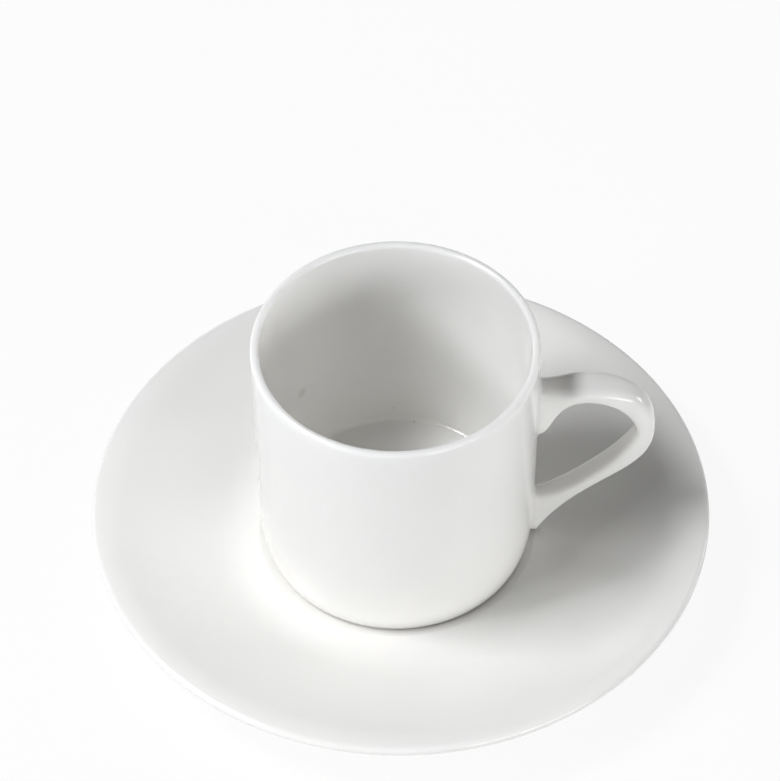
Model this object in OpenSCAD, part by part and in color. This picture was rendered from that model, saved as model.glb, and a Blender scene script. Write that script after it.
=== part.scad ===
// Espresso cup with saucer: a straight porcelain can with a strap handle, in the sunk seat of a wide saucer.
// Millimetres. The origin is on the table under the saucer's centre, and the handle points along +X.

/* [Cup] */
// Outer radius of the cup at its lip
cup_r = 28.1; // [24:0.1:34]
// Height of the cup from its foot to the top of its lip
cup_h = 55.9; // [48:0.1:66]
// Radius that the wall would have at its lower end if it ran straight down
cup_wall_low_r = 27.3; // [23:0.1:33]
// Radius at which the rounded wall ends above the foot ring
cup_low_r = 25.3; // [21:0.1:30]
// Height over which the wall draws in towards its lower end
cup_draw_h = 12; // [6:0.1:18]
// Height of the foot ring below the wall
cup_foot_h = 0.2; // [0.1:0.05:1.5]
// How far the foot ring stands in from the wall's lower end
cup_foot_inset = 0.4; // [0.2:0.1:3]
// Width of the flat foot ring
cup_foot_w = 3.6; // [2.5:0.1:6]
// Depth of the hollow inside the foot ring
cup_foot_hollow = 1.9; // [0.8:0.1:3.5]
// Thickness of the floor of the cup
cup_floor_t = 6; // [3:0.1:8]
// Thickness of the straight wall, carried down to the floor
cup_wall_t = 2.3; // [1.6:0.1:3.2]
// How far the inside draws in from the straight wall on its way to the floor
cup_inner_draw = 1.5; // [0.5:0.1:3]
// Thickness of the rounded lip
lip_t = 1.75; // [1.2:0.05:2.4]
// Radius between the inner wall and the floor
cup_fillet_r = 1.5; // [0.8:0.1:4]
// How far the seat, and the cup in it, lies along X from the middle of the saucer
cup_shift = -0.8; // [-2:0.1:2]

/* [Handle] */
// How far the handle stands out from the lip's radius
handle_reach = 22.7; // [18:0.1:28]
// Depth of the handle's crest below the top of the lip
handle_drop = 11.1; // [8:0.1:15]
// Distance of the crest from the lip's radius
crest_out = 9; // [7:0.1:11]
// Rise of the crest above the upper root
crest_rise = 0.6; // [0.2:0.1:3]
// Height of the outermost point below the crest
bend_drop = 12.5; // [10:0.1:15]
// Length of the upper root down the wall
upper_root_len = 12.6; // [9:0.1:14]
// Length of the lower root down the wall
lower_root_len = 10.7; // [7:0.1:12]
// Height of the lower root's end above the wall's lower end
lower_root_rise = 1.4; // [0.8:0.1:4]
// Thickness of the strap at its crest
strap_t = 3.2; // [2.2:0.1:4.2]
// Thickness of the strap at its outermost point
strap_bend_t = 3.8; // [2.5:0.1:4.5]
// Width of the strap along its upper arm
strap_top_w = 7; // [4.5:0.1:9]
// Width of the strap along its lower arm
strap_low_w = 5.2; // [3.5:0.1:8]

/* [Saucer] */
// Diameter of the saucer
saucer_d = 124; // [112:1:150]
// Slope of the saucer's rim in degrees
rim_slope = 18.5; // [12:0.1:24]
// Radius of the hollow curve between well and rim
well_curve_r = 20; // [8:0.5:30]
// Radius of the crown where the rim rolls over to its edge
rim_crown_r = 14; // [6:0.5:20]
// Radius of the rounded edge
saucer_edge_r = 1; // [0.8:0.05:1.6]
// Free width of the flat seat around the cup's foot ring
seat_room = 0.5; // [0.3:0.1:1.5]
// Depth of the seat below the well
seat_depth = 0.85; // [0.5:0.05:1.2]
// Slope in degrees of the short cone around the seat
seat_slope = 20; // [12:0.5:40]
// Radius in which the well rolls over into that cone
seat_brow_r = 1.2; // [0.5:0.1:2]
// Radius of the hollow curve between that cone and the flat seat
seat_curve_r = 0.8; // [0.3:0.1:1.5]
// Width of the flat ring of the well around the seat
well_ring_w = 3.6; // [2.5:0.1:6]
// Thickness of the saucer's floor under the seat
saucer_floor_t = 3; // [2.4:0.1:5]
// Radius of the middle of the saucer's foot ring
saucer_foot_r = 33; // [30:0.5:38]
// Width of the saucer's foot ring
saucer_foot_w = 3.2; // [2.4:0.1:5]
// Depth of the hollow inside the saucer's foot ring
saucer_foot_hollow = 2.7; // [1.5:0.1:4]

/* [Hidden] */

porcelain = [0.95, 0.95, 0.94];
round_fn = 128;
arc_steps = 10;

// Heights and radii that follow from the sizes above
seat_z = saucer_foot_hollow + saucer_floor_t;
well_z = seat_z + seat_depth;
cup_foot_r = cup_low_r - cup_foot_inset;
seat_r = cup_foot_r + seat_room;
seat_arcs_r = seat_brow_r + seat_curve_r;
seat_cone_drop = seat_depth - seat_arcs_r * (1 - cos(seat_slope));
seat_edge_r = seat_r + seat_arcs_r * sin(seat_slope) + seat_cone_drop / tan(seat_slope);
well_r = seat_edge_r + well_ring_w;
saucer_r = saucer_d / 2;
rim_end_r = saucer_r - saucer_edge_r;
cone_start_r = well_r + well_curve_r * sin(rim_slope);
cone_end_r = rim_end_r - rim_crown_r * sin(rim_slope);
cone_start_z = well_z + well_curve_r * (1 - cos(rim_slope));
cone_end_z = cone_start_z + (cone_end_r - cone_start_r) * tan(rim_slope);
rim_top_z = cone_end_z + rim_crown_r * (1 - cos(rim_slope));
edge_z = rim_top_z - saucer_edge_r;
under_edge_r = rim_end_r + saucer_edge_r * sin(rim_slope);
under_edge_z = edge_z - saucer_edge_r * cos(rim_slope);
foot_out_r = saucer_foot_r + saucer_foot_w / 2;
foot_in_r = saucer_foot_r - saucer_foot_w / 2;
foot_top_z = under_edge_z - (under_edge_r - foot_out_r) * tan(rim_slope);

lip_r = lip_t / 2;
lip_z = cup_h - lip_r;
floor_z = cup_foot_hollow + cup_floor_t;
draw_top_z = cup_foot_h + cup_draw_h;
drawn_r = wall_r(draw_top_z);
// Lean of the inside where it meets the fillet, and the fillet's upper end
inner_lean = atan(2 * cup_inner_draw / cup_draw_h);
fillet_z = floor_z + cup_fillet_r;
inner_low_z = fillet_z - cup_fillet_r * sin(inner_lean);
fillet_mid_r = inner_r(inner_low_z) - cup_fillet_r * cos(inner_lean);

// Handle: x is measured from the cup's axis and z from the cup's foot
crest_x = cup_r + crest_out;
crest_z = cup_h - handle_drop;
bend_x = cup_r + handle_reach;
bend_z = crest_z - bend_drop;
upper_root_z = crest_z - crest_rise;
lower_root_z = cup_foot_h + lower_root_rise;
// The root runs on inside the wall's line, and the wall then cuts it to fit
root_sink = 2.6;
// Height of the inner curve's outermost point below the outer one's
inner_bend_drop = 0.7;
// Directions in degrees in which the curves leave and reach the wall
upper_under_angle = 8;
lower_outer_angle = 244;
lower_inner_angle = 195;
// How far each curve pulls on leaving and on reaching its knots, in order along the handle
outer_pulls = [[3.4, 3.5], [7.8, 9], [13.4, 20.7]];
inner_pulls = [[2.8, 7.2], [5.2, 3.5], [3.6, 8.2]];
curve_steps = 14;
section_steps = 24;
// Roundness of the strap's section: 2 is an ellipse and higher values are squarer
section_power = 3.2;

// Outside of the straight wall, which opens evenly from its lower end to the lip
function wall_r(z) = cup_wall_low_r + (cup_r - cup_wall_low_r) * (z - cup_foot_h) / (lip_z - cup_foot_h);

// Inside of the wall: straight above, and drawn in along a parabola near the floor
function straight_inner_r(z) =
    let (low_r = wall_r(inner_low_z) - cup_wall_t)
    low_r + (cup_r - lip_t - low_r) * (z - inner_low_z) / (lip_z - inner_low_z);
function inner_r(z) =
    straight_inner_r(z) - cup_inner_draw * pow(max(0, 1 - (z - inner_low_z) / cup_draw_h), 2);

// Points on an arc about [x, z], from angle a to angle b.
// first is 1 where the stretch before it ended on the arc's first point.
function arc(x, z, r, a, b, first = 0) =
    [for (i = [first : arc_steps]) let (t = a + (b - a) * i / arc_steps) [x + r * cos(t), z + r * sin(t)]];

// Outside of the cup from the wall's lower end to the outer side of the lip: a quarter ellipse, then straight
function cup_outside() = concat(
    [for (i = [0 : arc_steps])
        let (t = 90 * i / arc_steps)
        [cup_low_r + (drawn_r - cup_low_r) * sin(t), cup_foot_h + cup_draw_h * (1 - cos(t))]],
    [[cup_r, lip_z]]);

function cup_inside() = concat(
    arc(cup_r - lip_r, lip_z, lip_r, 0, 180, 1),
    [for (i = [arc_steps : -1 : 1]) let (z = inner_low_z + cup_draw_h * i / arc_steps) [inner_r(z), z]],
    arc(fillet_mid_r, fillet_z, cup_fillet_r, -inner_lean, -90),
    [[0, floor_z]]);

function cup_under() = [
    [0, cup_foot_hollow],
    [cup_foot_r - cup_foot_w, cup_foot_hollow],
    [cup_foot_r - cup_foot_w, 0],
    [cup_foot_r, 0],
    [cup_foot_r, cup_foot_h]];

function saucer_top() = concat(
    [[0, well_z]],
    arc(well_r, well_z + well_curve_r, well_curve_r, -90, rim_slope - 90),
    arc(rim_end_r, rim_top_z - rim_crown_r, rim_crown_r, 90 + rim_slope, 90),
    arc(rim_end_r, edge_z, saucer_edge_r, 90, rim_slope - 90, 1));

// The hollow of the seat, from its flat floor up to the well
function seat_hollow() = concat(
    [[0, seat_z]],
    arc(seat_r, seat_z + seat_curve_r, seat_curve_r, -90, seat_slope - 90),
    arc(seat_edge_r, well_z - seat_brow_r, seat_brow_r, 90 + seat_slope, 90),
    [[seat_edge_r, well_z + seat_depth], [0, well_z + seat_depth]]);

function saucer_under() = [
    [foot_out_r, foot_top_z],
    [foot_out_r, 0],
    [foot_in_r, 0],
    [foot_in_r, saucer_foot_hollow],
    [0, saucer_foot_hollow]];

function bezier(a, b, c, d, t) =
    a * pow(1 - t, 3) + b * 3 * t * pow(1 - t, 2) + c * 3 * t * t * (1 - t) + d * pow(t, 3);
function heading(angle) = [cos(angle), sin(angle)];

// A smooth curve through knots [point, direction], with one pair of pulls for each stretch
function curve(knots, pulls) =
    [for (k = [0 : len(pulls) - 1])
        for (i = [(k == 0 ? 0 : 1) : curve_steps])
            let (a = knots[k], b = knots[k + 1])
            bezier(a[0], a[0] + heading(a[1]) * pulls[k][0], b[0] - heading(b[1]) * pulls[k][1], b[0],
                i / curve_steps)];

outer_curve = curve([
    [[cup_r, upper_root_z], 0],
    [[crest_x, crest_z], 0],
    [[bend_x, bend_z], -90],
    [[cup_r, lower_root_z], lower_outer_angle]], outer_pulls);

inner_curve = curve([
    [[cup_r, upper_root_z - upper_root_len], upper_under_angle],
    [[crest_x, crest_z - strap_t], 0],
    [[bend_x - strap_bend_t, bend_z - inner_bend_drop], -90],
    [[cup_r, lower_root_z + lower_root_len], lower_inner_angle]], inner_pulls);

last_ring = len(outer_curve) - 1;

// Half width of the strap, which eases from the upper arm's to the lower arm's over the middle third
function half_width(i) =
    let (t = max(0, min(1, 3 * i / last_ring - 1)), ease = t * t * (3 - 2 * t))
    (strap_top_w + (strap_low_w - strap_top_w) * ease) / 2;

function soft(v) = sign(v) * pow(abs(v), 2 / section_power);

// One section of the strap: a soft rectangle between the two curves, moved by shift along X
function ring(i, shift) =
    let (o = outer_curve[i], n = inner_curve[i], mid = (o + n) / 2, half = (o - n) / 2)
    [for (k = [0 : section_steps - 1])
        let (t = 360 * k / section_steps, c = soft(cos(t)))
        [mid[0] + half[0] * c + shift, half_width(i) * soft(sin(t)), mid[1] + half[1] * c]];

module strap() {
    rings = concat(
        [ring(0, -root_sink)],
        [for (i = [0 : last_ring]) ring(i, 0)],
        [ring(last_ring, -root_sink)]);
    n = section_steps;
    last = len(rings) - 1;
    polyhedron(
        points = [for (r = rings) each r],
        faces = concat(
            [[for (k = [n - 1 : -1 : 0]) k]],
            [[for (k = [0 : n - 1]) last * n + k]],
            [for (r = [0 : last - 1])
                for (k = [0 : n - 1])
                    let (a = r * n + k, b = r * n + (k + 1) % n)
                    each [[a, b, b + n], [a, b + n, a + n]]]));
}

module on_the_seat() {
    translate([cup_shift, 0, seat_z]) children();
}

module saucer() {
    color(porcelain)
    difference() {
        rotate_extrude($fn = round_fn)
        polygon(concat(saucer_top(), saucer_under()));
        translate([cup_shift, 0, 0])
        rotate_extrude($fn = round_fn)
        polygon(seat_hollow());
    }
}

module cup_body() {
    color(porcelain)
    on_the_seat()
    rotate_extrude($fn = round_fn)
    polygon(concat(cup_outside(), cup_inside(), cup_under()));
}

module cup_handle() {
    color(porcelain)
    on_the_seat()
    difference() {
        strap();
        rotate_extrude($fn = round_fn)
        polygon(concat([[0, cup_foot_h]], cup_outside(), [[0, lip_z]]));
    }
}

saucer();
cup_body();
cup_handle();
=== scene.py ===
"""Espresso cup on its saucer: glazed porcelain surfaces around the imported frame, and a pale studio."""

import math

import bpy
import numpy as np
from bpy.props import FloatProperty, FloatVectorProperty, IntProperty, PointerProperty
from mathutils import Matrix, Vector


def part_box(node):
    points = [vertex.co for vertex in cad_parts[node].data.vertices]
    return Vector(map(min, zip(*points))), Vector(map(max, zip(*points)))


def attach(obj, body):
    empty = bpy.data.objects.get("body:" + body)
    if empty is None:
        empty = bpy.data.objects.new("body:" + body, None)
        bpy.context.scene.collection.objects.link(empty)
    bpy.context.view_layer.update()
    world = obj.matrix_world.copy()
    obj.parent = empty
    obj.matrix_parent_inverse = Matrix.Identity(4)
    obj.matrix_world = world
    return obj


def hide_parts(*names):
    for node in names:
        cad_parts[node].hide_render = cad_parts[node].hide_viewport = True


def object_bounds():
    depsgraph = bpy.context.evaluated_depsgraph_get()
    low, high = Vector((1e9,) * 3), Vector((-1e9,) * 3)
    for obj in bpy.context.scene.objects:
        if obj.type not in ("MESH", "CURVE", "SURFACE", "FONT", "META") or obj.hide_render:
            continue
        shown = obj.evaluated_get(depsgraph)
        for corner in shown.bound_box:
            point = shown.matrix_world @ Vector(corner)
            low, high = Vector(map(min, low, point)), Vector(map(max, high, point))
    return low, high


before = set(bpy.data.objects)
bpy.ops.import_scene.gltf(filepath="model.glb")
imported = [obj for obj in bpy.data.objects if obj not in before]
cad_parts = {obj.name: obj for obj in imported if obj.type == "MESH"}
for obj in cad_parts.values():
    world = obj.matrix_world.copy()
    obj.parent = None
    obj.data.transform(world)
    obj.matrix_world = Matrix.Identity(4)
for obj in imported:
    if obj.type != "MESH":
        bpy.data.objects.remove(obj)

bl_info = {
    "name": "Espresso Cup and Saucer",
    "version": (1, 0, 0),
    "blender": (4, 5, 0),
    "location": "View3D > Sidebar > Espresso",
    "description": "Makes a glazed porcelain espresso cup, its handle, its saucer and a pale studio",
    "category": "Add Mesh",
}

MM = 0.001

CAD_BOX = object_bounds()
CUP_LOW, CUP_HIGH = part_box("cup_body")
HANDLE_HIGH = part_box("cup_handle")[1]
SAUCER_LOW, SAUCER_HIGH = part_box("saucer")
CUP_AXIS_X = (CUP_LOW.x + CUP_HIGH.x) / 2
CUP_LIP_R = (CUP_HIGH.x - CUP_LOW.x) / 2

# Spacing of the points along a profile, on tight curves, gentle curves and straight stretches
ARC_SPACING = 0.25 * MM
CURVE_SPACING = 0.5 * MM
LINE_SPACING = 1.2 * MM
ARC_LEAST_STEPS = 8
# Points closer than this count as one
SAME_POINT = 1e-7

# How far the strap's two curves leave a knot and reach the next one along their headings, in millimetres
OUTER_PULLS = ((3.4, 3.5), (7.8, 9), (13.4, 20.7))
INNER_PULLS = ((2.8, 7.2), (5.2, 3.5), (3.6, 8.2))
# How fast the fillet at the strap's roots dies away from the wall
FILLET_POWER = 2.5

# The glaze's noises: scale in waves a metre, and how many finer layers lie on it
CLOUD_NOISE = (55, 3)
SHEEN_NOISE = (210, 4)
RIPPLE_NOISE = (420, 1)
GRAIN_NOISE = (1500, 2)
# Values of a noise between which a colour or a roughness changes
CLOUD_RANGE = (0.35, 0.65)
WIDE_RANGE = (0.3, 0.7)
# Specks: cells a metre, the draw above which a cell holds one, and where its edge fades in shares of a cell
SPECK_SCALE = 120
SPECK_CHANCE = (0.975, 0.98)
SPECK_EDGE = (0.012, 0.028)
# Share of a blemish's radius that has its full depth of colour
MARK_CORE = 0.3
# Share of the bare band's height that is bare clay only
BARE_CORE = 0.5
# Brightness of the bare clay's darker grains beside its lighter ones
GRAIN_SHADE = 0.9
# Blemishes inside the cup: angle round its axis in degrees, distance from the axis, height above the foot
# and radius in millimetres, and depth of colour
CUP_MARKS = (
    (137.8, 25.5, 22.8, 1.6, 0.2),
    (90.9, 23.9, 10.2, 0.35, 0.25),
    (80.5, 22.5, 7.9, 0.3, 0.45),
)

# Radii of the floor's rings as shares of its own, and points in each
FLOOR_RINGS = (0.2, 0.5, 1)
FLOOR_STEPS = 96


def length(name, description, millimetres):
    """A size in metres, with its default given in millimetres."""
    return FloatProperty(name=name, description=description, default=millimetres * MM, unit="LENGTH",
                         precision=5)


def share(name, description, default):
    """A number between nothing and one."""
    return FloatProperty(name=name, description=description, default=default, min=0, max=1,
                         subtype="FACTOR")


def angle(name, description, degrees):
    """An angle, with its default given in degrees."""
    return FloatProperty(name=name, description=description, default=math.radians(degrees), subtype="ANGLE")


def power(name, description, watts):
    """The power of a light."""
    return FloatProperty(name=name, description=description, default=watts, min=0, unit="POWER")


def colour(name, description, default):
    """A linear colour."""
    return FloatVectorProperty(name=name, description=description, default=default, size=3, subtype="COLOR")


class CupSizes(bpy.types.PropertyGroup):
    """Sizes of the cup's turned body."""

    lip_r: length("Lip radius", "Outer radius at the lip", CUP_LIP_R / MM)
    height: length("Height", "Height from the foot to the top of the lip", (CUP_HIGH.z - CUP_LOW.z) / MM)
    wall_low_r: length("Low wall radius", "Radius of the wall's lower end if it ran straight down", 27.3)
    low_r: length("Low radius", "Radius at which the rounded wall ends above the foot ring", 25.3)
    draw_h: length("Draw height", "Height over which the wall draws in towards its lower end", 12)
    foot_h: length("Foot height", "Height of the foot ring below the wall", 0.2)
    foot_inset: length("Foot inset", "How far the foot ring stands in from the wall's lower end", 0.2)
    foot_w: length("Foot width", "Width of the flat foot ring", 3.6)
    foot_hollow: length("Foot hollow", "Depth of the hollow inside the foot ring", 1.9)
    floor_t: length("Floor", "Thickness of the floor", 6)
    wall_t: length("Wall", "Thickness of the straight wall, carried down to the floor", 2.3)
    inner_draw: length("Inner draw", "How far the inside draws in on its way to the floor", 1.5)
    lip_t: length("Lip", "Thickness of the rounded lip", 1.75)
    fillet_r: length("Floor fillet", "Radius between the inner wall and the floor", 1.5)
    edge_ease: length("Eased edge", "How far the sharp edges of the foot ring are eased", 0.08)
    sway: length("Sway", "How far the fired lip is out of round, inwards", 0.08)
    steps: IntProperty(name="Steps", description="Steps round the axis", default=224, min=24)


class HandleSizes(bpy.types.PropertyGroup):
    """Sizes of the strap handle, outwards from the lip's radius and up from the cup's foot."""

    reach: length("Reach", "How far the handle stands out from the lip's radius",
                  (HANDLE_HIGH.x - CUP_HIGH.x) / MM)
    drop: length("Drop", "Depth of the crest below the top of the lip", (CUP_HIGH.z - HANDLE_HIGH.z) / MM)
    crest_out: length("Crest", "Distance of the crest from the lip's radius", 9)
    crest_rise: length("Crest rise", "Rise of the crest above the upper root", 0.6)
    bend_drop: length("Bend drop", "Height of the outermost point below the crest", 12.5)
    inner_bend_drop: length("Inner bend drop", "How much lower the inner curve's outermost point is", 0.7)
    upper_root_len: length("Upper root", "Length of the upper root down the wall", 12.6)
    lower_root_len: length("Lower root", "Length of the lower root down the wall", 10.7)
    lower_root_rise: length("Lower root rise", "Height of the lower root's end above the wall's end", 1.4)
    strap_t: length("Strap", "Thickness of the strap at its crest", 3.2)
    bend_t: length("Bend", "Thickness of the strap at its outermost point", 3.8)
    top_w: length("Upper width", "Width of the strap along its upper arm", 7)
    low_w: length("Lower width", "Width of the strap along its lower arm", 5.2)
    upper_under: angle("Upper underside", "Direction in which the underside leaves the wall", 8)
    lower_outer: angle("Lower outside", "Direction in which the outside reaches the wall", 244)
    lower_inner: angle("Lower inside", "Direction in which the inside reaches the wall", 195)
    power: FloatProperty(name="Section", description="2 is an ellipse, higher values are squarer",
                         default=3.2, min=2)
    root_fillet: length("Root fillet", "Reach of the slip that fills the corner at the wall", 0.7)
    sink: length("Sink", "How far the roots run on inside the wall", 0.4)
    curve_steps: IntProperty(name="Curve steps", description="Steps along each of the three stretches",
                             default=44)
    root_steps: IntProperty(name="Root steps", description="Steps between each root and the wall",
                            default=24)
    section_steps: IntProperty(name="Section steps", description="Steps round the section", default=96)


class SaucerSizes(bpy.types.PropertyGroup):
    """Sizes of the saucer."""

    radius: length("Radius", "Outer radius", (SAUCER_HIGH.x - SAUCER_LOW.x) / 2 / MM)
    seat_z: length("Height of seat", "Height of the sunk seat that the cup stands in", CUP_LOW.z / MM)
    seat_r: length("Radius of seat", "Radius of the flat seat", 25.4)
    seat_depth: length("Depth of seat", "Depth of the seat below the well around it", 0.85)
    seat_slope: angle("Slope of seat", "Slope of the short cone round the seat", 20)
    seat_brow_r: length("Brow of seat", "Radius in which the well rolls over into the cone", 1.2)
    seat_curve_r: length("Curve of seat", "Radius of the hollow curve between cone and flat seat", 0.8)
    well_r: length("Well radius", "Radius of the flat well around the seat", 31.69)
    rim_slope: angle("Rim slope", "Slope of the rim", 18.5)
    well_curve_r: length("Well curve", "Radius of the hollow curve between well and rim", 20)
    crown_r: length("Rim crown", "Radius where the rim rolls over to its edge", 14)
    edge_r: length("Edge", "Radius of the rounded edge", 1)
    foot_r: length("Foot radius", "Radius of the middle of the foot ring", 33)
    foot_w: length("Foot width", "Width of the foot ring", 3.2)
    foot_hollow: length("Foot hollow", "Depth of the hollow inside the foot ring", 2.7)
    edge_ease: length("Eased edge", "How far the sharp edges of the foot ring are eased", 0.6)
    sway: length("Sway", "How far the fired rim is out of round, inwards", 0.1)
    steps: IntProperty(name="Steps", description="Steps round the axis", default=256, min=24)


class GlazeLook(bpy.types.PropertyGroup):
    """Colours and finish of the glaze."""

    body: colour("Glaze", "Colour of the white glaze", (0.9, 0.892, 0.867))
    cloud: colour("Cloud", "Colour of the glaze where it lies a little thicker", (0.887, 0.881, 0.86))
    speck: colour("Speck", "Colour of the iron specks", (0.3, 0.27, 0.23))
    biscuit: colour("Biscuit", "Colour of the bare fired clay under the foot rings", (0.78, 0.74, 0.67))
    gloss_low: share("Low roughness", "Roughness where the glaze is smoothest", 0.1)
    gloss_high: share("High roughness", "Roughness where the glaze is dullest", 0.16)
    biscuit_rough: share("Biscuit roughness", "Roughness of the bare clay", 0.7)
    wall_clear: share("Wall translucence", "Share of the light that spreads in the cup's thin wall", 0.85)
    clear: share("Translucence", "Share of the light that spreads in the saucer and the strap", 0.25)
    spread: length("Spread", "How far light spreads through the porcelain", 4)
    spread_colours: colour("Spread colours", "Share of that reach for red, green and blue", (1, 0.97, 0.93))
    ripple: length("Ripple", "Height of the fine ripple on the fired glaze", 0.004)
    bare_h: length("Bare height", "Height of the bare band above each foot ring's face", 0.25)


def soft_box_settings(watts, tint, width, height, azimuth, rise):
    """Settings of one rectangular light that faces the cup, with its sizes in millimetres and degrees."""
    return {
        "watts": power("Power", "Power of the light", watts),
        "tint": colour("Colour", "Colour of the light", tint),
        "width": length("Width", "Width of the soft box", width),
        "height": length("Height", "Height of the soft box", height),
        "azimuth": angle("Azimuth", "Direction of the soft box seen from above, from +X", azimuth),
        "rise": angle("Rise", "How high the soft box stands above the horizon", rise),
        "distance": length("Distance", "Distance of the soft box from the cup", 1000),
    }


class KeyBox(bpy.types.PropertyGroup):
    """Main soft box, high on the cup's left."""

    __annotations__ = soft_box_settings(5.9, (0.97, 0.98, 1), 340, 200, 184, 58)


class LeftBox(bpy.types.PropertyGroup):
    """Lower soft box on the cup's left and a little in front."""

    __annotations__ = soft_box_settings(3.9, (0.97, 0.98, 1), 420, 220, 207, 34)


class FrontBox(bpy.types.PropertyGroup):
    """Wide soft box low in front, on the handle's side."""

    __annotations__ = soft_box_settings(4.8, (0.985, 0.99, 1), 700, 240, 309, 13)


class SideBox(bpy.types.PropertyGroup):
    """Weak low card beyond the handle."""

    __annotations__ = soft_box_settings(1.2, (1, 1, 1), 350, 200, 20, 9)


class StudioLook(bpy.types.PropertyGroup):
    """Camera, floor and even light."""

    lens: length("Lens", "Focal length", 184.38)
    sensor: length("Sensor", "Long side of the sensor", 36)
    pitch: angle("Pitch", "How far the camera looks down", 48.607)
    roll: angle("Roll", "How far the camera is turned about its line of sight", -0.519)
    aim: FloatVectorProperty(name="Aim", description="Point in the middle of the picture", size=3,
                             default=(-1.96 * MM, 0, 48.45 * MM), subtype="TRANSLATION")
    distance: length("Distance", "Distance from the camera to the aim", 778.6)
    floor: colour("Floor", "Colour of the floor", (0.88, 0.88, 0.87))
    floor_white: share("Floor white", "How far the floor shows as the white background", 0.92)
    floor_r: length("Floor radius", "Radius of the floor", 4000)
    floor_gap: length("Floor gap", "Gap between the saucer's foot and the floor", 0.05)
    even: FloatProperty(name="Even light", description="Strength of the light from all round",
                        default=0.01, min=0)
    even_colour: colour("Even colour", "Colour of the light from all round", (1, 0.985, 0.96))


class EspressoSet(bpy.types.PropertyGroup):
    """All the sizes and looks of the set."""

    cup: PointerProperty(type=CupSizes)
    handle: PointerProperty(type=HandleSizes)
    saucer: PointerProperty(type=SaucerSizes)
    glaze: PointerProperty(type=GlazeLook)
    studio: PointerProperty(type=StudioLook)
    key: PointerProperty(type=KeyBox)
    left: PointerProperty(type=LeftBox)
    front: PointerProperty(type=FrontBox)
    side: PointerProperty(type=SideBox)


# Profiles: rows of [radius, height]


def line(start, end):
    """Points on the straight line from start to end."""
    start = np.asarray(start, float)
    end = np.asarray(end, float)
    steps = max(1, math.ceil(np.linalg.norm(end - start) / LINE_SPACING))
    return start + (end - start) * np.linspace(0, 1, steps + 1)[:, None]


def arc(centre, radius, start, end):
    """Points on a circle: centre + radius times [cos a, sin a], with a from start to end in radians."""
    steps = max(ARC_LEAST_STEPS, math.ceil(abs(end - start) * radius / ARC_SPACING))
    a = np.linspace(start, end, steps + 1)
    return np.asarray(centre, float) + radius * np.column_stack([np.cos(a), np.sin(a)])


def eased(before, corner, after, ease):
    """A corner rounded by a parabola that leaves each side at the distance ease from the corner."""
    before, corner, after = (np.asarray(p, float) for p in (before, corner, after))
    a = corner + (before - corner) / np.linalg.norm(before - corner) * ease
    b = corner + (after - corner) / np.linalg.norm(after - corner) * ease
    t = np.linspace(0, 1, ARC_LEAST_STEPS + 1)[:, None]
    return a * (1 - t) ** 2 + corner * 2 * t * (1 - t) + b * t**2


def eased_path(corners, ease):
    """The path through the corners, each inner one eased, with points along the straight stretches."""
    rounds = [eased(*corners[i - 1 : i + 2], ease) for i in range(1, len(corners) - 1)]
    ends = [np.array([corners[0]], float), *rounds, np.array([corners[-1]], float)]
    return chain(*(part for a, b in zip(ends, ends[1:]) for part in (a, line(a[-1], b[0]))), ends[-1])


def chain(*stretches):
    """The stretches end to end, with each doubled point dropped."""
    points = np.concatenate(stretches)
    apart = np.linalg.norm(np.diff(points, axis=0), axis=1) > SAME_POINT
    return points[np.concatenate([[True], apart])]


def wall_radius(cup, z):
    """Radius of the straight outer wall at height z: it opens evenly from its lower end to the lip."""
    share_up = (z - cup.foot_h) / (cup.height - cup.lip_t / 2 - cup.foot_h)
    return cup.wall_low_r + (cup.lip_r - cup.wall_low_r) * share_up


def outside_radius(cup, z):
    """Radius of the outside at height z: a quarter ellipse over the draw height, then the straight wall."""
    draw_top = cup.foot_h + cup.draw_h
    rise = np.clip((draw_top - z) / cup.draw_h, 0, 1)
    drawn = cup.low_r + (wall_radius(cup, draw_top) - cup.low_r) * np.sqrt(1 - rise**2)
    return np.where(z < draw_top, drawn, wall_radius(cup, z))


def cup_profile(cup):
    """Under the foot, up the outside, over the half round lip and down the inside to the floor's middle."""
    lip_z = cup.height - cup.lip_t / 2
    floor_z = cup.foot_hollow + cup.floor_t
    foot_r = cup.low_r - cup.foot_inset
    foot_in = foot_r - cup.foot_w
    under = eased_path([(0, cup.foot_hollow), (foot_in, cup.foot_hollow), (foot_in, 0), (foot_r, 0),
                        (foot_r, cup.foot_h), (cup.low_r, cup.foot_h)], cup.edge_ease)

    turn = np.linspace(0, math.pi / 2, math.ceil(cup.draw_h / CURVE_SPACING))
    drawn_r = wall_radius(cup, cup.foot_h + cup.draw_h)
    draw = np.column_stack([cup.low_r + (drawn_r - cup.low_r) * np.sin(turn),
                            cup.foot_h + cup.draw_h * (1 - np.cos(turn))])
    lip = arc((cup.lip_r - cup.lip_t / 2, lip_z), cup.lip_t / 2, 0, math.pi)

    # The inside leans in along a parabola near the floor and ends in the fillet
    lean = math.atan(2 * cup.inner_draw / cup.draw_h)
    low_z = floor_z + cup.fillet_r * (1 - math.sin(lean))
    low_r = wall_radius(cup, low_z) - cup.wall_t
    z = np.linspace(lip_z, low_z, math.ceil(cup.height / CURVE_SPACING))
    inner_r = low_r + (cup.lip_r - cup.lip_t - low_r) * (z - low_z) / (lip_z - low_z)
    inner_r = inner_r - cup.inner_draw * np.clip(1 - (z - low_z) / cup.draw_h, 0, 1) ** 2
    fillet_mid = (inner_r[-1] - cup.fillet_r * math.cos(lean), floor_z + cup.fillet_r)
    fillet = arc(fillet_mid, cup.fillet_r, -lean, -math.pi / 2)

    return chain(under, draw, line(draw[-1], lip[0]), lip, np.column_stack([inner_r, z]), fillet,
                 line(fillet[-1], (0, floor_z)))


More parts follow.
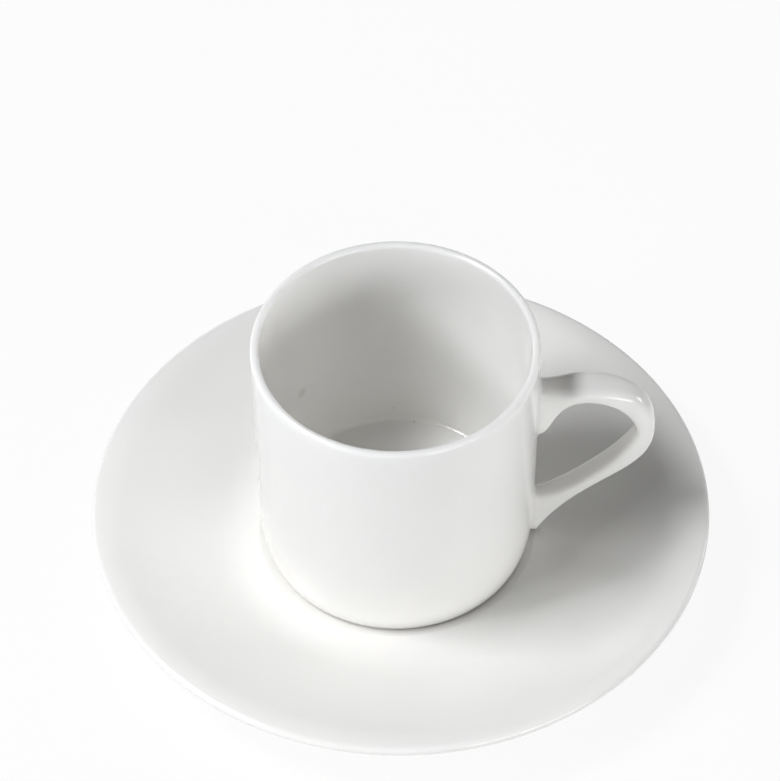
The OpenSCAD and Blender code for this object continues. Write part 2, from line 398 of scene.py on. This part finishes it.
def saucer_profile(saucer):
    """Under the foot ring, round the edge, down the rim into the flat well and down a cone into the seat.

    Also tells which points lie on the seat and its cone, which are in line with the cup.
    """
    slope = saucer.rim_slope
    well_z = saucer.seat_z + saucer.seat_depth
    rim_end = saucer.radius - saucer.edge_r
    cone_start = saucer.well_r + saucer.well_curve_r * math.sin(slope)
    cone_end = rim_end - saucer.crown_r * math.sin(slope)
    cone_start_z = well_z + saucer.well_curve_r * (1 - math.cos(slope))
    cone_end_z = cone_start_z + (cone_end - cone_start) * math.tan(slope)
    rim_z = cone_end_z + saucer.crown_r * (1 - math.cos(slope))

    edge = arc((rim_end, rim_z - saucer.edge_r), saucer.edge_r, slope - math.pi / 2, math.pi / 2)
    crown = arc((rim_end, rim_z - saucer.crown_r), saucer.crown_r, math.pi / 2, math.pi / 2 + slope)
    well_curve = arc((saucer.well_r, well_z + saucer.well_curve_r), saucer.well_curve_r,
                     slope - math.pi / 2, -math.pi / 2)

    # A brow, a short cone and a hollow curve lead down to the seat
    lean = saucer.seat_slope
    both_r = saucer.seat_brow_r + saucer.seat_curve_r
    cone_drop = saucer.seat_depth - both_r * (1 - math.cos(lean))
    brow_start = saucer.seat_r + both_r * math.sin(lean) + cone_drop / math.tan(lean)
    brow = arc((brow_start, well_z - saucer.seat_brow_r), saucer.seat_brow_r,
               math.pi / 2, math.pi / 2 + lean)
    seat_curve = arc((saucer.seat_r, saucer.seat_z + saucer.seat_curve_r), saucer.seat_curve_r,
                     lean - math.pi / 2, -math.pi / 2)

    foot_out = saucer.foot_r + saucer.foot_w / 2
    foot_in = saucer.foot_r - saucer.foot_w / 2
    foot_top = edge[0, 1] - (edge[0, 0] - foot_out) * math.tan(slope)
    under = eased_path([(0, saucer.foot_hollow), (foot_in, saucer.foot_hollow), (foot_in, 0), (foot_out, 0),
                        (foot_out, foot_top), tuple(edge[0])], saucer.edge_ease)
    rim = chain(under, edge, crown, line(crown[-1], well_curve[0]), well_curve)
    seat = chain(brow, line(brow[-1], seat_curve[0]), seat_curve, line(seat_curve[-1], (0, saucer.seat_z)))
    on_seat = np.arange(len(rim) + len(seat)) >= len(rim)
    return np.concatenate([rim, seat]), on_seat


# Meshes


def porcelain_piece(name, points, faces, material, body, node):
    """A smooth mesh object at the origin that stands for a node of the frame and rides on its body."""
    mesh = bpy.data.meshes.new(name)
    mesh.from_pydata(points, [], faces)
    mesh.polygons.foreach_set("use_smooth", np.ones(len(mesh.polygons), bool))
    mesh.materials.append(material)
    mesh.validate()
    mesh.update()
    piece = bpy.data.objects.new(name, mesh)
    bpy.context.scene.collection.objects.link(piece)
    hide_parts(node)
    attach(piece, body)
    return piece


def strips(rows, columns):
    """Faces of a grid of rows that each close on themselves: four neighbours a face."""
    row, column = np.meshgrid(np.arange(rows - 1), np.arange(columns), indexing="ij")
    right = (column + 1) % columns
    here = row * columns
    above = (row + 1) * columns
    return np.stack([here + column, here + right, above + right, above + column], -1).reshape(-1, 4)


def closed(grid, first_pole, last_pole):
    """Points and faces of a grid of closed rows, with a fan of triangles to a pole at each end."""
    rows, columns = grid.shape[:2]
    points = np.concatenate([grid.reshape(-1, 3), [first_pole, last_pole]])
    here = np.arange(columns)
    after = (here + 1) % columns
    first = rows * columns
    last_row = (rows - 1) * columns
    first_fan = np.column_stack([np.full(columns, first), after, here])
    last_fan = np.column_stack([np.full(columns, first + 1), last_row + here, last_row + after])
    return points, strips(rows, columns).tolist() + first_fan.tolist() + last_fan.tolist()


def turned(profile, steps, axis_x, base_z, sway):
    """A profile carried round an upright axis, as on a wheel: x = axis + r cos a, y = r sin a.

    axis_x is one number or one for each point of the profile. The radius shrinks by up to sway in a wave of
    two around, in proportion to the radius and the height squared, as a thin rim leaves the kiln slightly
    out of round.
    """
    r, z = profile[1:-1].T
    x = np.broadcast_to(axis_x, len(profile))
    a = np.linspace(0, 2 * math.pi, steps, endpoint=False)
    wave = (1 - np.cos(2 * a)) / 2
    lean = sway * (z / z.max()) ** 2 * (r / r.max())
    radius = r[:, None] - lean[:, None] * wave[None, :]
    height = np.broadcast_to(z[:, None], radius.shape)
    grid = np.stack([x[1:-1, None] + radius * np.cos(a), radius * np.sin(a), base_z + height], -1)
    poles = [(x[i], 0, base_z + profile[i, 1]) for i in (0, -1)]
    return closed(grid, *poles)


def smooth_curve(knots, headings, pulls, steps):
    """A chain of cubic curves through the knots, leaving each along its heading by the given pulls.

    Each is a (1 - t)^3 + 3 b t (1 - t)^2 + 3 c t^2 (1 - t) + d t^3 from knot a to knot d, where b and c lie
    on the headings at a and d.
    """
    t = np.linspace(0, 1, steps + 1)[:, None]
    way = np.column_stack([np.cos(headings), np.sin(headings)])
    stretches = []
    for k, (leave, reach) in enumerate(pulls):
        a = np.asarray(knots[k], float)
        d = np.asarray(knots[k + 1], float)
        b = a + way[k] * leave
        c = d - way[k + 1] * reach
        stretches.append(a * (1 - t) ** 3 + b * 3 * t * (1 - t) ** 2 + c * 3 * t**2 * (1 - t) + d * t**3)
    return chain(*stretches)


def soft(v, squareness):
    """A cosine or sine squared off for a soft rectangle: its sign times its size to the power 2 / p."""
    return np.sign(v) * np.abs(v) ** (2 / squareness)


def wall_x(cup, points):
    """How far out along X the cup's outside lies beside each point."""
    radius = outside_radius(cup, np.maximum(points[..., 2], cup.foot_h))
    return np.sqrt(radius**2 - points[..., 1] ** 2)


def strap_grid(cup, handle):
    """Sections of the strap from the upper root to the lower one, about the cup's axis and foot.

    An outer and an inner curve run side by side. Each section is a soft rectangle between them:
    middle + half the step across times c, and half the width times s, where |c|^p + |s|^p = 1.
    At the wall each line of points runs on to meet it, and is pushed out square to the strap by
    f (1 - d / f)^q, where d is its distance from the wall, f the fillet's reach and q the fillet's power.
    """
    crest = (cup.lip_r + handle.crest_out, cup.height - handle.drop)
    bend = (cup.lip_r + handle.reach, crest[1] - handle.bend_drop)
    upper_z = crest[1] - handle.crest_rise
    lower_z = cup.foot_h + handle.lower_root_rise
    down = -math.pi / 2
    outer = smooth_curve(
        [(cup.lip_r, upper_z), crest, bend, (cup.lip_r, lower_z)],
        [0, 0, down, handle.lower_outer],
        np.array(OUTER_PULLS) * MM, handle.curve_steps)
    inner = smooth_curve(
        [(cup.lip_r, upper_z - handle.upper_root_len), (crest[0], crest[1] - handle.strap_t),
         (bend[0] - handle.bend_t, bend[1] - handle.inner_bend_drop),
         (cup.lip_r, lower_z + handle.lower_root_len)],
        [handle.upper_under, 0, down, handle.lower_inner],
        np.array(INNER_PULLS) * MM, handle.curve_steps)

    # The width changes along the middle one of the three stretches
    along = np.linspace(0, len(OUTER_PULLS), len(outer))
    ease = np.clip(along - 1, 0, 1)
    ease = ease**2 * (3 - 2 * ease)
    half_w = (handle.top_w + (handle.low_w - handle.top_w) * ease) / 2
    turn = np.linspace(0, 2 * math.pi, handle.section_steps, endpoint=False)
    c = soft(np.cos(turn), handle.power)
    s = soft(np.sin(turn), handle.power)
    middle = (outer + inner) / 2
    half = (outer - inner) / 2
    x = middle[:, :1] + half[:, :1] * c
    z = middle[:, 1:] + half[:, 1:] * c
    grid = np.stack([x, half_w[:, None] * s, z], -1)

    # Outward direction of each point within its section
    half_t = np.linalg.norm(half, axis=1)
    out_t = np.sign(c) * np.abs(c) ** (handle.power - 1) / half_t[:, None]
    out_w = np.sign(s) * np.abs(s) ** (handle.power - 1) / half_w[:, None]
    across = half / half_t[:, None]
    outward = np.stack([across[:, :1] * out_t, out_w, across[:, 1:] * out_t], -1)
    outward /= np.linalg.norm(outward, axis=-1, keepdims=True)

    def to_wall(end):
        """Rows from one end of the strap on to the wall and into it, nearest the strap first."""
        gap = grid[end, :, 0] - wall_x(cup, grid[end])
        t = np.linspace(0, 1, handle.root_steps + 1)[1:, None]
        d = np.concatenate([gap * (1 - t) ** 2, np.full((1, len(gap)), -handle.sink)])
        rows = np.repeat(grid[end][None], len(d), axis=0)
        rows[..., 0] += d - gap
        return rows

    upper = to_wall(0)[::-1]
    lower = to_wall(-1)
    rows = np.concatenate([upper, grid, lower])
    upper_out = np.repeat(outward[:1], len(upper), 0)
    lower_out = np.repeat(outward[-1:], len(lower), 0)
    outward = np.concatenate([upper_out, outward, lower_out])
    d = rows[..., 0] - wall_x(cup, rows)
    push = handle.root_fillet * np.clip(1 - np.maximum(d, 0) / handle.root_fillet, 0, 1) ** FILLET_POWER
    rows = rows + push[..., None] * outward
    near = d < handle.root_fillet
    rows[..., 0] = np.where(near, wall_x(cup, rows) + d, rows[..., 0])
    return rows


def strap(cup, handle):
    """Points and faces of the strap, moved to the cup's place and closed at both ends inside the wall."""
    grid = strap_grid(cup, handle) + (CUP_AXIS_X, 0, CUP_LOW.z)
    grid = grid[::-1]
    return closed(grid, grid[0].mean(0), grid[-1].mean(0))


# Materials


def add(tree, kind, inputs=None, **settings):
    """A new node with its settings, and its inputs set to values or linked to other nodes' outputs."""
    made = tree.nodes.new(kind)
    for key, value in settings.items():
        setattr(made, key, value)
    for socket, value in (inputs or {}).items():
        if isinstance(value, bpy.types.NodeSocket):
            tree.links.new(value, made.inputs[socket])
        else:
            made.inputs[socket].default_value = value
    return made


def opaque(rgb):
    """A colour with full alpha."""
    return (*rgb, 1)


def ramp(tree, value, low, high, to_low=0.0, to_high=1.0):
    """A value eased from one range to another."""
    node = add(tree, "ShaderNodeMapRange", {0: value, 1: low, 2: high, 3: to_low, 4: to_high},
               interpolation_type="SMOOTHSTEP")
    return node.outputs[0]


def noise(tree, place, scale, detail):
    """A noise of about nothing to one at each place."""
    inputs = {"Vector": place, "Scale": scale, "Detail": detail}
    return add(tree, "ShaderNodeTexNoise", inputs).outputs["Fac"]


def combined(tree, operation, a, b):
    """Two values put together by one operation."""
    return add(tree, "ShaderNodeMath", {0: a, 1: b}, operation=operation).outputs[0]


def mixed(tree, factor, a, b):
    """Two colours mixed by a factor."""
    node = add(tree, "ShaderNodeMix", {"Factor": factor}, data_type="RGBA")
    for socket, value in (("A", a), ("B", b)):
        target = [i for i in node.inputs if i.name == socket and i.type == "RGBA"][0]
        if isinstance(value, bpy.types.NodeSocket):
            tree.links.new(value, target)
        else:
            target.default_value = value
    return [o for o in node.outputs if o.type == "RGBA"][0]


def glaze_material(name, glaze, clear, foot_z, marks=()):
    """White glaze: faint clouds, rare iron specks, fine ripple, and bare clay under the foot ring at foot_z.

    clear is the share of the light that spreads through the porcelain, and marks gives the place, radius and
    depth of colour of each single blemish in the glaze.
    """
    material = bpy.data.materials.new(name)
    material.use_nodes = True
    tree = material.node_tree
    shader = tree.nodes["Principled BSDF"]
    place = add(tree, "ShaderNodeTexCoord").outputs["Object"]

    clouds = noise(tree, place, *CLOUD_NOISE)
    tint = mixed(tree, ramp(tree, clouds, *CLOUD_RANGE), opaque(glaze.body), opaque(glaze.cloud))

    cells = add(tree, "ShaderNodeTexVoronoi", {"Vector": place, "Scale": SPECK_SCALE})
    chance = add(tree, "ShaderNodeSeparateColor", {0: cells.outputs["Color"]}).outputs[0]
    rare = ramp(tree, chance, *SPECK_CHANCE)
    dot = ramp(tree, cells.outputs["Distance"], *SPECK_EDGE, 1, 0)
    specks = combined(tree, "MULTIPLY", rare, dot)
    for centre, radius, depth in marks:
        away = add(tree, "ShaderNodeVectorMath", {0: place, 1: centre}, operation="DISTANCE")
        spot = ramp(tree, away.outputs["Value"], radius * MARK_CORE, radius, depth, 0)
        specks = combined(tree, "MAXIMUM", specks, spot)
    tint = mixed(tree, specks, tint, opaque(glaze.speck))

    height = add(tree, "ShaderNodeSeparateXYZ", {0: place}).outputs["Z"]
    bare = ramp(tree, height, foot_z + glaze.bare_h * BARE_CORE, foot_z + glaze.bare_h, 1, 0)
    grain = noise(tree, place, *GRAIN_NOISE)
    dark_clay = opaque(GRAIN_SHADE * c for c in glaze.biscuit)
    clay = mixed(tree, ramp(tree, grain, *WIDE_RANGE), opaque(glaze.biscuit), dark_clay)
    tint = mixed(tree, bare, tint, clay)

    sheen = noise(tree, place, *SHEEN_NOISE)
    rough = ramp(tree, sheen, *WIDE_RANGE, glaze.gloss_low, glaze.gloss_high)
    rough = add(tree, "ShaderNodeMix", {"Factor": bare, "A": rough, "B": glaze.biscuit_rough}).outputs[0]

    ripple = noise(tree, place, *RIPPLE_NOISE)
    bump = add(tree, "ShaderNodeBump", {"Height": ripple, "Distance": glaze.ripple, "Strength": 1})

    shader.inputs["Subsurface Weight"].default_value = clear
    shader.inputs["Subsurface Scale"].default_value = glaze.spread
    shader.inputs["Subsurface Radius"].default_value = glaze.spread_colours
    tree.links.new(tint, shader.inputs["Base Color"])
    tree.links.new(rough, shader.inputs["Roughness"])
    tree.links.new(bump.outputs["Normal"], shader.inputs["Normal"])
    return material


def cup_marks():
    """Place, radius and depth of colour of each blemish inside the cup."""
    for turn, r, z, size, depth in CUP_MARKS:
        a = math.radians(turn)
        place = (CUP_AXIS_X + r * MM * math.cos(a), r * MM * math.sin(a), CUP_LOW.z + z * MM)
        yield place, size * MM, depth


def seen_directly(tree):
    """1 for rays from the camera and for what gloss and glass show, else 0."""
    path = add(tree, "ShaderNodeLightPath").outputs
    seen = path["Is Camera Ray"]
    for ray in ("Is Glossy Ray", "Is Transmission Ray"):
        seen = combined(tree, "MAXIMUM", seen, path[ray])
    return seen


def floor_material(studio):
    """A pale matt floor that shows as the white background and still takes the object's shadow."""
    material = bpy.data.materials.new("pale_floor")
    material.use_nodes = True
    tree = material.node_tree
    tree.nodes.clear()
    matt = add(tree, "ShaderNodeBsdfDiffuse", {"Color": opaque(studio.floor)})
    white = add(tree, "ShaderNodeEmission", {"Color": (1, 1, 1, 1), "Strength": 1})
    part = combined(tree, "MULTIPLY", seen_directly(tree), studio.floor_white)
    both = add(tree, "ShaderNodeMixShader", {0: part, 1: matt.outputs[0], 2: white.outputs[0]})
    add(tree, "ShaderNodeOutputMaterial", {0: both.outputs[0]})
    return material


# Stage


def soft_box(name, box):
    """A rectangular area light that faces the cup, placed by its azimuth and its rise above the horizon."""
    light = bpy.data.lights.new(name, "AREA")
    light.shape = "RECTANGLE"
    light.energy = box.watts
    light.color = box.tint
    light.size = box.width
    light.size_y = box.height
    lamp = bpy.data.objects.new(name, light)
    flat = math.cos(box.rise)
    back = Vector((flat * math.cos(box.azimuth), flat * math.sin(box.azimuth), math.sin(box.rise)))
    place = Matrix.Translation(Vector((CUP_AXIS_X, 0, CUP_LOW.z)) + back * box.distance)
    facing = back.to_track_quat("Z", "Y").to_matrix().to_4x4()
    lamp.matrix_world = place @ facing
    bpy.context.scene.collection.objects.link(lamp)


def studio_world(studio):
    """White for what the camera and gloss see, and the even fill for everything else."""
    world = bpy.data.worlds.new("studio")
    world.use_nodes = True
    tree = world.node_tree
    tree.nodes.clear()
    fill = add(tree, "ShaderNodeBackground", {"Color": opaque(studio.even_colour), "Strength": studio.even})
    white = add(tree, "ShaderNodeBackground", {"Color": (1, 1, 1, 1), "Strength": 1})
    seen = seen_directly(tree)
    both = add(tree, "ShaderNodeMixShader", {0: seen, 1: fill.outputs[0], 2: white.outputs[0]})
    add(tree, "ShaderNodeOutputWorld", {0: both.outputs[0]})
    bpy.context.scene.world = world


def studio_floor(studio):
    """A round flat floor just under the saucer's foot: rings of points about the origin."""
    r = np.array(FLOOR_RINGS) * studio.floor_r
    a = np.linspace(0, 2 * math.pi, FLOOR_STEPS, endpoint=False)
    ring = np.stack([np.cos(a), np.sin(a), 0 * a], -1)
    points = np.concatenate([[(0, 0, 0)], (r[:, None, None] * ring).reshape(-1, 3)])
    points[:, 2] = CAD_BOX[0].z - studio.floor_gap
    here = np.arange(len(a))
    fan = np.column_stack([np.zeros_like(here), 1 + here, 1 + (here + 1) % len(a)])
    quads = 1 + strips(len(r), len(a))[:, ::-1]
    mesh = bpy.data.meshes.new("floor")
    mesh.from_pydata(points, [], fan.tolist() + quads.tolist())
    mesh.materials.append(floor_material(studio))
    floor = bpy.data.objects.new("floor", mesh)
    bpy.context.scene.collection.objects.link(floor)


def studio_camera(studio):
    """A camera that looks down at the aim from the front, turned a little about its line of sight."""
    camera = bpy.data.cameras.new("camera")
    camera.lens = studio.lens / MM
    camera.sensor_width = studio.sensor / MM
    holder = bpy.data.objects.new("camera", camera)
    turn = Matrix.Rotation(math.pi / 2 - studio.pitch, 4, "X") @ Matrix.Rotation(studio.roll, 4, "Z")
    back = turn @ Vector((0, 0, studio.distance))
    holder.matrix_world = Matrix.Translation(Vector(studio.aim) + back) @ turn
    bpy.context.scene.collection.objects.link(holder)
    bpy.context.scene.camera = holder


# Operators


class ESPRESSO_OT_saucer(bpy.types.Operator):
    """Make the saucer: one profile turned round its upright axis, and its seat round the cup's"""

    bl_idname = "espresso.saucer"
    bl_label = "Make Saucer"

    def execute(self, context):
        looks = context.scene.espresso
        sizes = looks.saucer
        material = glaze_material("saucer_glaze", looks.glaze, looks.glaze.clear, SAUCER_LOW.z)
        profile, on_seat = saucer_profile(sizes)
        axis_x = np.where(on_seat, CUP_AXIS_X, 0)
        points, faces = turned(profile, sizes.steps, axis_x, SAUCER_LOW.z, sizes.sway)
        porcelain_piece("saucer_dish", points, faces, material, "saucer", "saucer")
        return {"FINISHED"}


class ESPRESSO_OT_cup(bpy.types.Operator):
    """Make the cup's body: one profile turned round the cup's axis"""

    bl_idname = "espresso.cup"
    bl_label = "Make Cup"

    def execute(self, context):
        looks = context.scene.espresso
        sizes = looks.cup
        material = glaze_material("cup_glaze", looks.glaze, looks.glaze.wall_clear, CUP_LOW.z, cup_marks())
        points, faces = turned(cup_profile(sizes), sizes.steps, CUP_AXIS_X, CUP_LOW.z, sizes.sway)
        porcelain_piece("cup_can", points, faces, material, "cup", "cup_body")
        return {"FINISHED"}


class ESPRESSO_OT_handle(bpy.types.Operator):
    """Make the handle: soft rectangular sections between the strap's two curves"""

    bl_idname = "espresso.handle"
    bl_label = "Make Handle"

    def execute(self, context):
        looks = context.scene.espresso
        material = glaze_material("handle_glaze", looks.glaze, looks.glaze.clear, CUP_LOW.z)
        points, faces = strap(looks.cup, looks.handle)
        porcelain_piece("cup_strap", points, faces, material, "cup", "cup_handle")
        return {"FINISHED"}


class ESPRESSO_OT_studio(bpy.types.Operator):
    """Make the stage: floor, world, lights and camera"""

    bl_idname = "espresso.studio"
    bl_label = "Make Studio"

    def execute(self, context):
        looks = context.scene.espresso
        studio_world(looks.studio)
        studio_floor(looks.studio)
        for name in ("key", "left", "front", "side"):
            soft_box(f"{name}_light", getattr(looks, name))
        studio_camera(looks.studio)
        context.scene.view_settings.view_transform = "Standard"
        return {"FINISHED"}


class ESPRESSO_PT_set(bpy.types.Panel):
    """Lists the steps and the sizes of the set"""

    bl_idname = "ESPRESSO_PT_set"
    bl_label = "Espresso Cup and Saucer"
    bl_space_type = "VIEW_3D"
    bl_region_type = "UI"
    bl_category = "Espresso"

    def draw(self, context):
        for step in STEPS:
            self.layout.operator(step.bl_idname)
        looks = context.scene.espresso
        for group_name in EspressoSet.__annotations__:
            box = self.layout.box()
            box.label(text=group_name)
            group = getattr(looks, group_name)
            for name in group.__annotations__:
                box.prop(group, name)


STEPS = (ESPRESSO_OT_saucer, ESPRESSO_OT_cup, ESPRESSO_OT_handle, ESPRESSO_OT_studio)
GROUPS = (CupSizes, HandleSizes, SaucerSizes, GlazeLook, StudioLook,
          KeyBox, LeftBox, FrontBox, SideBox, EspressoSet)
CLASSES = (*GROUPS, *STEPS, ESPRESSO_PT_set)


def register():
    for cls in CLASSES:
        bpy.utils.register_class(cls)
    bpy.types.Scene.espresso = PointerProperty(type=EspressoSet)


def unregister():
    del bpy.types.Scene.espresso
    for cls in reversed(CLASSES):
        bpy.utils.unregister_class(cls)


def main():
    """Make the set and its stage."""
    register()
    bpy.ops.espresso.saucer()
    bpy.ops.espresso.cup()
    bpy.ops.espresso.handle()
    bpy.ops.espresso.studio()


if __name__ == "__main__":
    main()
